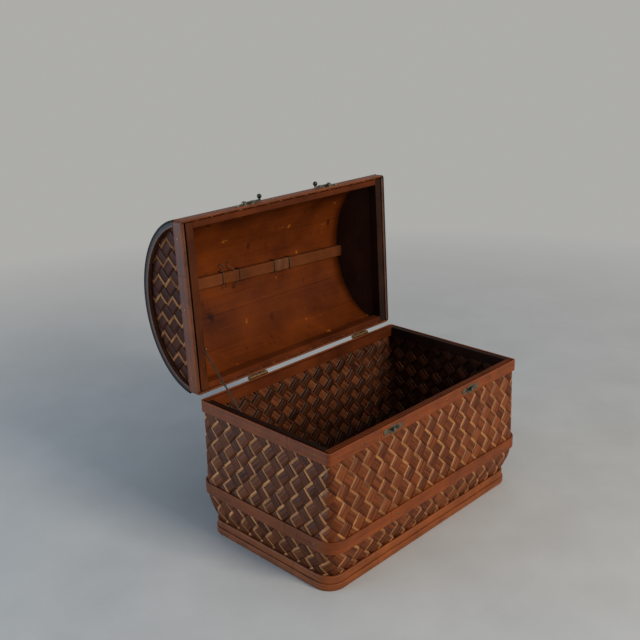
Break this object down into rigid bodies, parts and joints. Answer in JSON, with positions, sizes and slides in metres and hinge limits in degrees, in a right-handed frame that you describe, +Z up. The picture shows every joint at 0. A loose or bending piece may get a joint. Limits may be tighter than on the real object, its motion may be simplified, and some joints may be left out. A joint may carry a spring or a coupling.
{
  "type": "trunk",
  "caption": "Small woven bamboo trunk with a domed, lined lid on brass hinges, a stay cord, swing latches, nailed bands and a bowed handle, shown open.",
  "frame": {"origin": "the middle of the trunk body's underside, on the surface it stands on", "axes": "+X along the trunk to its right end, +Y from the front to the hinged back, +Z up"},
  "size_m": [0.4122, 0.3826, 0.4523],
  "materials": {
    "woven_bamboo": "plain diagonal weave of dark stained bamboo strips with narrow pale ones, waxed satin",
    "rim_strip": "stained bamboo strip, satin",
    "dark_hoop": "nearly black stained bamboo, satin",
    "bamboo_band": "red-brown stained split bamboo, waxed satin",
    "lining_wood": "orange-brown stained thin wood, satin",
    "dark_lining": "very dark stained thin wood",
    "handle_bamboo": "bent split bamboo, polished by use",
    "cane": "fine split cane",
    "dark_wire": "dark oxidised iron wire",
    "hinge_brass": "aged brass",
    "bronze": "dark green-brown patina",
    "nail_metal": "dull pale nail heads",
    "cord": "dark twisted cord"
  },
  "bodies": {
    "trunk": {"body_weave_upper": "woven_bamboo", "body_weave_lower": "woven_bamboo", "body_floor": "woven_bamboo", "base_battens": "lining_wood", "base_band_lower": "bamboo_band", "base_band_upper": "bamboo_band", "waist_band": "bamboo_band", "rim_band": "bamboo_band", "rim_strip_front": "rim_strip", "rim_strip_back": "rim_strip", "rim_strip_left": "rim_strip", "rim_strip_right": "rim_strip", "hinge_leaf_body_left": "hinge_brass", "hinge_leaf_body_right": "hinge_brass", "hinge_pin_left": "hinge_brass", "hinge_pin_right": "hinge_brass", "hinge_screws_body": "hinge_brass", "catch_plate_left": "bronze", "catch_plate_right": "bronze", "catch_screws": "bronze", "band_nails_body": "nail_metal", "cord_anchor_body": "bronze", "stay_cord": "cord"},
    "lid": {"band_nails_lid": "nail_metal", "cord_anchor_lid": "bronze", "foot_whipping_left": "cane", "foot_whipping_right": "cane", "handle": "handle_bamboo", "handle_ties": "dark_wire", "hinge_leaf_lid_left": "hinge_brass", "hinge_leaf_lid_right": "hinge_brass", "hinge_screws_lid": "hinge_brass", "latch_plate_left": "bronze", "latch_plate_right": "bronze", "latch_screws": "bronze", "lid_edging_left": "bamboo_band", "lid_edging_right": "bamboo_band", "lid_end_left": "woven_bamboo", "lid_end_lining_left": "dark_lining", "lid_end_lining_right": "dark_lining", "lid_end_right": "woven_bamboo", "lid_hoop_left": "dark_hoop", "lid_hoop_right": "dark_hoop", "lid_lining": "lining_wood", "lid_rim_band": "bamboo_band", "lid_slat": "lining_wood", "lid_strip_back": "rim_strip", "lid_strip_front": "rim_strip", "lid_strip_left": "rim_strip", "lid_strip_right": "rim_strip", "lid_weave": "woven_bamboo", "slat_whipping": "cane"},
    "hook_left": {"latch_hook_left": "bronze"},
    "hook_right": {"latch_hook_right": "bronze"}
  },
  "joints": [
    {"name": "lid_hinge", "type": "hinge", "parent": "trunk", "child": "lid", "pos_m": [0, 0.1236, 0.1983], "axis": [1, 0, 0], "range_deg": [0, 92.5], "deforming": ["stay_cord"]},
    {"name": "hook_left_pivot", "type": "hinge", "parent": "lid", "child": "hook_left", "pos_m": [-0.0835, 0.14261, 0.4433], "axis": [0, -0.0436, -0.999], "range_deg": [0, 90]},
    {"name": "hook_right_pivot", "type": "hinge", "parent": "lid", "child": "hook_right", "pos_m": [0.0835, 0.14261, 0.4433], "axis": [0, 0.0436, 0.999], "range_deg": [0, 90]}
  ]
}
